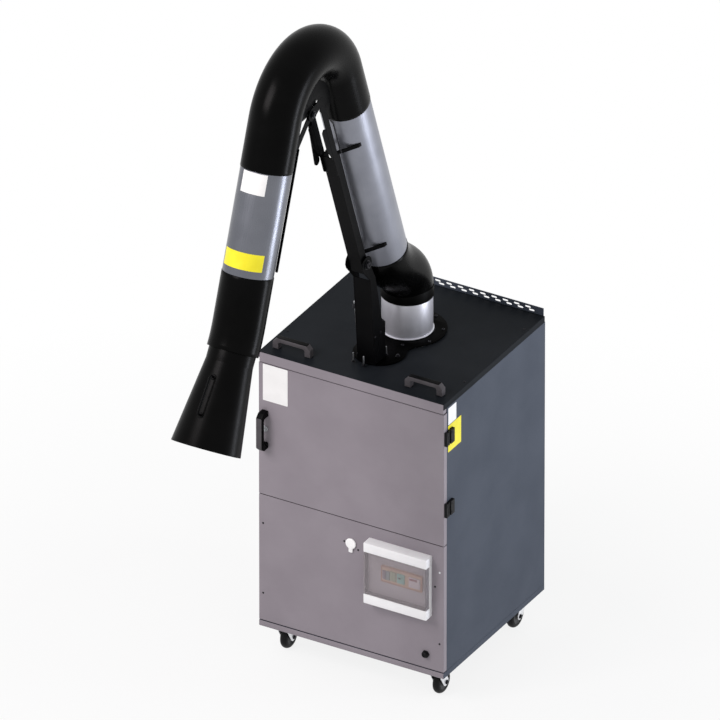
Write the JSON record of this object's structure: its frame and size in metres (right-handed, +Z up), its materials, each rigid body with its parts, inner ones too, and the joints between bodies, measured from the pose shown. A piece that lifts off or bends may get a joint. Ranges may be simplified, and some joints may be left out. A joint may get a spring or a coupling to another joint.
{
  "type": "mobile welding fume extractor",
  "caption": "Filter cabinet on swivel casters with a jointed suction arm: ducts, flexible hoses and a conical hood that draws in welding fumes.",
  "frame": {"origin": "middle of the whole outline, on the floor under the wheels", "axes": "+Z up, the door and the arm's hood face -Y, +X to the right seen from the front"},
  "size_m": [0.65, 1.5646, 2.378],
  "materials": {
    "front_paint": "satin",
    "side_paint": "satin",
    "lid_paint": "satin",
    "black_frame": "satin",
    "black_plastic": "matte",
    "white_box": "satin",
    "smoke_window": "gloss",
    "modules": "matte",
    "lamp": "gloss",
    "zinc": "satin",
    "duct_metal": "satin",
    "wheel_rubber": "matte",
    "hose_rubber": "satin",
    "seal_rubber": "matte",
    "filter_fleece": "matte",
    "mesh_metal": "satin",
    "fan_metal": "satin",
    "motor_paint": "satin"
  },
  "bodies": {
    "cabinet": {"base_pan": "side_paint", "left_side_panel": "side_paint", "right_side_panel": "side_paint", "rear_panel": "side_paint", "top_lid": "lid_paint", "front_top_rail": "front_paint", "middle_shelf": "zinc", "lower_front_panel": "front_paint", "lid_handle_left": "black_plastic", "lid_handle_right": "black_plastic", "swivel_ring": "black_frame", "spark_arrestor": "mesh_metal", "main_filter": "filter_fleece", "fan_housing": "fan_metal", "fan_motor": "motor_paint", "control_box": "white_box", "control_modules": "modules", "indicator_lamp": "lamp", "cable_gland": "black_plastic", "hinge_block_upper": "black_plastic", "hinge_block_lower": "black_plastic", "caster_plate_front_left": "zinc", "caster_plate_front_right": "zinc", "caster_plate_rear_left": "zinc", "caster_plate_rear_right": "zinc"},
    "door": {"door": "front_paint", "door_seal": "seal_rubber", "door_handle": "black_plastic", "hinge_leaf_upper": "black_plastic", "hinge_leaf_lower": "black_plastic"},
    "door_lock": {"door_lock": "zinc"},
    "window_flap": {"control_box_window": "smoke_window"},
    "toggle": {"breaker_toggle": "black_plastic"},
    "fan_rotor": {"impeller": "fan_metal"},
    "arm_base": {"swivel_plate": "black_frame", "collar": "zinc", "shoulder_bracket": "black_frame", "shoulder_pin": "zinc", "bracket_stay": "zinc", "base_hose": "hose_rubber"},
    "lower_arm": {"lower_arm_channel": "black_frame", "lower_duct": "duct_metal", "duct_clamp_lower": "black_frame", "duct_clamp_upper": "black_frame", "elbow_link": "black_frame", "top_hose": "hose_rubber"},
    "upper_arm": {"upper_arm_channel": "black_frame", "upper_duct": "duct_metal", "hood_hose": "hose_rubber"},
    "hood_carrier": {"hood_neck": "black_frame"},
    "hood": {"hood": "black_frame", "hood_handle": "zinc"},
    "caster_fork_front_left": {"caster_fork_front_left": "zinc"},
    "caster_wheel_front_left": {"caster_wheel_front_left": "wheel_rubber"},
    "caster_fork_front_right": {"caster_fork_front_right": "zinc"},
    "caster_wheel_front_right": {"caster_wheel_front_right": "wheel_rubber"},
    "caster_fork_rear_left": {"caster_fork_rear_left": "zinc"},
    "caster_wheel_rear_left": {"caster_wheel_rear_left": "wheel_rubber"},
    "caster_fork_rear_right": {"caster_fork_rear_right": "zinc"},
    "caster_wheel_rear_right": {"caster_wheel_rear_right": "wheel_rubber"}
  },
  "joints": [
    {"name": "arm_swivel", "type": "hinge", "parent": "cabinet", "child": "arm_base", "pos_m": [-0.005, 0.50826, 1.05766], "axis": [0, 0, 1], "continuous": true},
    {"name": "shoulder_lean", "type": "hinge", "parent": "arm_base", "child": "lower_arm", "pos_m": [-0.005, 0.21526, 1.43566], "axis": [1, 0, 0], "range_deg": [-10, 40], "deforming": ["base_hose"]},
    {"name": "elbow_fold", "type": "hinge", "parent": "lower_arm", "child": "upper_arm", "pos_m": [-0.005, -0.09986, 2.10846], "axis": [-1, 0, 0], "range_deg": [-5, 90], "deforming": ["top_hose"]},
    {"name": "hood_tilt", "type": "hinge", "parent": "upper_arm", "child": "hood_carrier", "pos_m": [-0.005, -0.50721, 1.54479], "axis": [1, 0, 0], "range_deg": [-40, 40], "deforming": ["hood_hose"]},
    {"name": "hood_turn", "type": "hinge", "parent": "hood_carrier", "child": "hood", "pos_m": [-0.005, -0.50721, 1.54479], "axis": [0, 0.5299, 0.848], "range_deg": [-150, 150]},
    {"name": "door_swing", "type": "hinge", "parent": "cabinet", "child": "door", "pos_m": [0.32, 0.19066, 0.56466], "axis": [0, 0, 1], "range_deg": [0, 110]},
    {"name": "door_lock_turn", "type": "hinge", "parent": "door", "child": "door_lock", "pos_m": [-0.304, 0.19066, 0.79466], "axis": [0, -1, 0], "range_deg": [0, 90]},
    {"name": "window_flap_swing", "type": "hinge", "parent": "cabinet", "child": "window_flap", "pos_m": [0.057, 0.16266, 0.41666], "axis": [0, 0, -1], "range_deg": [0, 100]},
    {"name": "breaker_toggle_tip", "type": "hinge", "parent": "cabinet", "child": "toggle", "pos_m": [0.17874, 0.14936, 0.42566], "axis": [1, 0, 0], "range_deg": [0, 50]},
    {"name": "fan_spin", "type": "hinge", "parent": "cabinet", "child": "fan_rotor", "pos_m": [-0.005, 0.47726, 0.44636], "axis": [0, 0, 1], "continuous": true},
    {"name": "caster_swivel_front_left", "type": "hinge", "parent": "cabinet", "child": "caster_fork_front_left", "pos_m": [-0.27, 0.23226, 0.09], "axis": [0, 0, 1], "continuous": true},
    {"name": "caster_roll_front_left", "type": "hinge", "parent": "caster_fork_front_left", "child": "caster_wheel_front_left", "pos_m": [-0.27, 0.25426, 0.03966], "axis": [1, 0, 0], "continuous": true},
    {"name": "caster_swivel_front_right", "type": "hinge", "parent": "cabinet", "child": "caster_fork_front_right", "pos_m": [0.26, 0.23226, 0.09], "axis": [0, 0, 1], "continuous": true},
    {"name": "caster_roll_front_right", "type": "hinge", "parent": "caster_fork_front_right", "child": "caster_wheel_front_right", "pos_m": [0.26, 0.25426, 0.03966], "axis": [1, 0, 0], "continuous": true},
    {"name": "caster_swivel_rear_left", "type": "hinge", "parent": "cabinet", "child": "caster_fork_rear_left", "pos_m": [-0.27, 0.72226, 0.09], "axis": [0, 0, 1], "continuous": true},
    {"name": "caster_roll_rear_left", "type": "hinge", "parent": "caster_fork_rear_left", "child": "caster_wheel_rear_left", "pos_m": [-0.27, 0.70026, 0.03966], "axis": [1, 0, 0], "continuous": true},
    {"name": "caster_swivel_rear_right", "type": "hinge", "parent": "cabinet", "child": "caster_fork_rear_right", "pos_m": [0.26, 0.72226, 0.09], "axis": [0, 0, 1], "continuous": true},
    {"name": "caster_roll_rear_right", "type": "hinge", "parent": "caster_fork_rear_right", "child": "caster_wheel_rear_right", "pos_m": [0.26, 0.70026, 0.03966], "axis": [1, 0, 0], "continuous": true}
  ]
}
